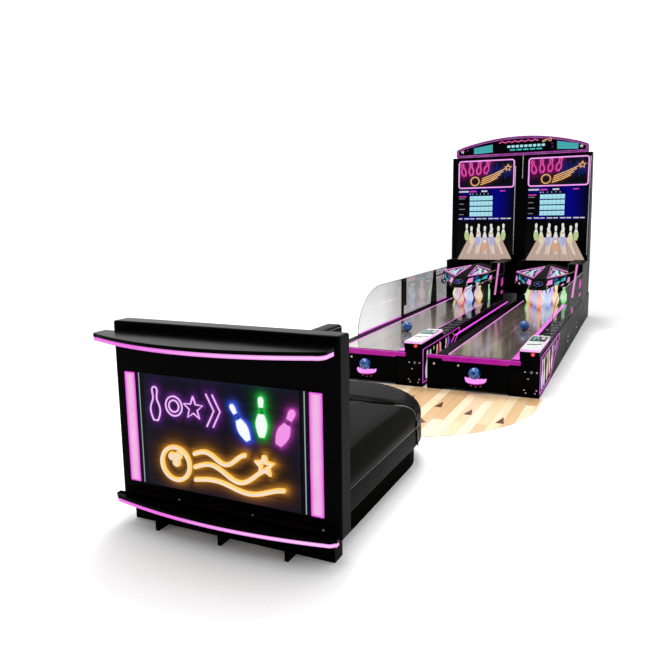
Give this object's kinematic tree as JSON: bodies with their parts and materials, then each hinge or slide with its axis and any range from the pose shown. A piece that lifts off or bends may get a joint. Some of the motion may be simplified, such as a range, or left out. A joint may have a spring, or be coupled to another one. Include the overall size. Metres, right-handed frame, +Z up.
{
  "type": "arcade bowling game",
  "caption": "Arcade bowling game: low lane cabinets side by side under a tall display tower, with clear side guards, an approach floor and an island bench with a lit sign wall.",
  "frame": {"origin": "floor level, under the centre of the whole object's plan box", "axes": "+Z up; +Y runs from the bench, along the lanes, to the display tower; +X to the player's right"},
  "size_m": [2.326, 9.5, 2.98],
  "materials": {
    "cabinet_board": "satin black laminate over board",
    "lane_board": "high-gloss printed lane board",
    "front_panel": "satin black fascia with a magenta bumper",
    "ball_cup": "translucent pink, lit from inside",
    "ball": "polished dark blue marbled",
    "control_box": "satin housing with a pale control plate",
    "start_button": "translucent red, lit",
    "service_door": "satin black",
    "pit_hood": "satin black faceted hood",
    "tower_board": "satin black laminate over board",
    "display_screen": "lit portrait screen",
    "pin_01": "glowing translucent",
    "pin_02": "glowing translucent",
    "pin_03": "glowing translucent",
    "pin_04": "glowing translucent",
    "pin_05": "glowing translucent",
    "pin_06": "glowing translucent",
    "pin_07": "glowing translucent",
    "pin_08": "glowing translucent",
    "pin_09": "glowing translucent",
    "pin_10": "glowing translucent",
    "marquee": "back-lit printed arch",
    "clear_guard": "clear polished sheet",
    "guard_posts": "satin black",
    "approach_floor": "satin maple planks with dark inlays",
    "bench_board": "satin black laminate",
    "sign_panel": "back-lit printed art and light bars",
    "seat_base": "matt black",
    "seat_vinyl": "soft black vinyl"
  },
  "bodies": {
    "machine": {"cabinet_body_left": "cabinet_board", "lane_deck_left": "lane_board", "front_panel_left": "front_panel", "ball_cup_left": "ball_cup", "control_box_left": "control_box", "pit_hood_left": "pit_hood", "tower_casing_left": "tower_board", "display_screen_left": "display_screen", "cabinet_body_right": "cabinet_board", "lane_deck_right": "lane_board", "front_panel_right": "front_panel", "ball_cup_right": "ball_cup", "control_box_right": "control_box", "pit_hood_right": "pit_hood", "tower_casing_right": "tower_board", "display_screen_right": "display_screen", "marquee": "marquee", "side_guard_left": "clear_guard", "side_guard_middle": "clear_guard", "side_guard_right": "clear_guard", "guard_posts_left": "guard_posts", "guard_post_middle": "guard_posts", "approach_floor": "approach_floor", "sign_wall": "bench_board", "top_shelf": "bench_board", "lower_shelf": "bench_board", "sign_panel": "sign_panel", "spine_back": "bench_board", "seat_base": "seat_base", "side_cushion_left": "seat_vinyl", "side_cushion_right": "seat_vinyl", "end_cushion": "seat_vinyl"},
    "pin_left_01": {"pin_left_01": "pin_01"},
    "pin_left_02": {"pin_left_02": "pin_02"},
    "pin_left_03": {"pin_left_03": "pin_03"},
    "pin_left_04": {"pin_left_04": "pin_04"},
    "pin_left_05": {"pin_left_05": "pin_05"},
    "pin_left_06": {"pin_left_06": "pin_06"},
    "pin_left_07": {"pin_left_07": "pin_07"},
    "pin_left_08": {"pin_left_08": "pin_08"},
    "pin_left_09": {"pin_left_09": "pin_09"},
    "pin_left_10": {"pin_left_10": "pin_10"},
    "return_ball_left": {"return_ball_left": "ball"},
    "play_ball_left": {"play_ball_left": "ball"},
    "start_button_left": {"start_button_left": "start_button"},
    "service_door_left": {"service_door_left": "service_door"},
    "pin_right_01": {"pin_right_01": "pin_01"},
    "pin_right_02": {"pin_right_02": "pin_02"},
    "pin_right_03": {"pin_right_03": "pin_03"},
    "pin_right_04": {"pin_right_04": "pin_04"},
    "pin_right_05": {"pin_right_05": "pin_05"},
    "pin_right_06": {"pin_right_06": "pin_06"},
    "pin_right_07": {"pin_right_07": "pin_07"},
    "pin_right_08": {"pin_right_08": "pin_08"},
    "pin_right_09": {"pin_right_09": "pin_09"},
    "pin_right_10": {"pin_right_10": "pin_10"},
    "return_ball_right": {"return_ball_right": "ball"},
    "play_ball_right": {"play_ball_right": "ball"},
    "start_button_right": {"start_button_right": "start_button"},
    "service_door_right": {"service_door_right": "service_door"}
  },
  "joints": [
    {"name": "pin_left_01_lift", "type": "slide", "parent": "machine", "child": "pin_left_01", "axis": [0, 0, 1], "range_m": [0, 0.08]},
    {"name": "pin_left_02_lift", "type": "slide", "parent": "machine", "child": "pin_left_02", "axis": [0, 0, 1], "range_m": [0, 0.08]},
    {"name": "pin_left_03_lift", "type": "slide", "parent": "machine", "child": "pin_left_03", "axis": [0, 0, 1], "range_m": [0, 0.08]},
    {"name": "pin_left_04_lift", "type": "slide", "parent": "machine", "child": "pin_left_04", "axis": [0, 0, 1], "range_m": [0, 0.08]},
    {"name": "pin_left_05_lift", "type": "slide", "parent": "machine", "child": "pin_left_05", "axis": [0, 0, 1], "range_m": [0, 0.08]},
    {"name": "pin_left_06_lift", "type": "slide", "parent": "machine", "child": "pin_left_06", "axis": [0, 0, 1], "range_m": [0, 0.08]},
    {"name": "pin_left_07_lift", "type": "slide", "parent": "machine", "child": "pin_left_07", "axis": [0, 0, 1], "range_m": [0, 0.08]},
    {"name": "pin_left_08_lift", "type": "slide", "parent": "machine", "child": "pin_left_08", "axis": [0, 0, 1], "range_m": [0, 0.08]},
    {"name": "pin_left_09_lift", "type": "slide", "parent": "machine", "child": "pin_left_09", "axis": [0, 0, 1], "range_m": [0, 0.08]},
    {"name": "pin_left_10_lift", "type": "slide", "parent": "machine", "child": "pin_left_10", "axis": [0, 0, 1], "range_m": [0, 0.08]},
    {"name": "return_ball_left_lift_out", "type": "slide", "parent": "machine", "child": "return_ball_left", "axis": [0, -0.5, 0.866], "range_m": [0, 0.25]},
    {"name": "play_ball_left_roll", "type": "slide", "parent": "machine", "child": "play_ball_left", "axis": [0, 1, 0], "range_m": [-1, 2.3]},
    {"name": "start_button_left_press", "type": "slide", "parent": "machine", "child": "start_button_left", "axis": [0, 1, 0], "range_m": [0, 0.004], "stiffness_N_per_m": 300},
    {"name": "service_door_left_hinge", "type": "hinge", "parent": "machine", "child": "service_door_left", "pos_m": [-0.043, -0.892, 0.165], "axis": [0, 0, 1], "range_deg": [0, 100]},
    {"name": "pin_right_01_lift", "type": "slide", "parent": "machine", "child": "pin_right_01", "axis": [0, 0, 1], "range_m": [0, 0.08]},
    {"name": "pin_right_02_lift", "type": "slide", "parent": "machine", "child": "pin_right_02", "axis": [0, 0, 1], "range_m": [0, 0.08]},
    {"name": "pin_right_03_lift", "type": "slide", "parent": "machine", "child": "pin_right_03", "axis": [0, 0, 1], "range_m": [0, 0.08]},
    {"name": "pin_right_04_lift", "type": "slide", "parent": "machine", "child": "pin_right_04", "axis": [0, 0, 1], "range_m": [0, 0.08]},
    {"name": "pin_right_05_lift", "type": "slide", "parent": "machine", "child": "pin_right_05", "axis": [0, 0, 1], "range_m": [0, 0.08]},
    {"name": "pin_right_06_lift", "type": "slide", "parent": "machine", "child": "pin_right_06", "axis": [0, 0, 1], "range_m": [0, 0.08]},
    {"name": "pin_right_07_lift", "type": "slide", "parent": "machine", "child": "pin_right_07", "axis": [0, 0, 1], "range_m": [0, 0.08]},
    {"name": "pin_right_08_lift", "type": "slide", "parent": "machine", "child": "pin_right_08", "axis": [0, 0, 1], "range_m": [0, 0.08]},
    {"name": "pin_right_09_lift", "type": "slide", "parent": "machine", "child": "pin_right_09", "axis": [0, 0, 1], "range_m": [0, 0.08]},
    {"name": "pin_right_10_lift", "type": "slide", "parent": "machine", "child": "pin_right_10", "axis": [0, 0, 1], "range_m": [0, 0.08]},
    {"name": "return_ball_right_lift_out", "type": "slide", "parent": "machine", "child": "return_ball_right", "axis": [0, -0.5, 0.866], "range_m": [0, 0.25]},
    {"name": "play_ball_right_roll", "type": "slide", "parent": "machine", "child": "play_ball_right", "axis": [0, 1, 0], "range_m": [-1.5, 1.85]},
    {"name": "start_button_right_press", "type": "slide", "parent": "machine", "child": "start_button_right", "axis": [0, 1, 0], "range_m": [0, 0.004], "stiffness_N_per_m": 300},
    {"name": "service_door_right_hinge", "type": "hinge", "parent": "machine", "child": "service_door_right", "pos_m": [1.108, -0.892, 0.165], "axis": [0, 0, 1], "range_deg": [0, 100]}
  ]
}
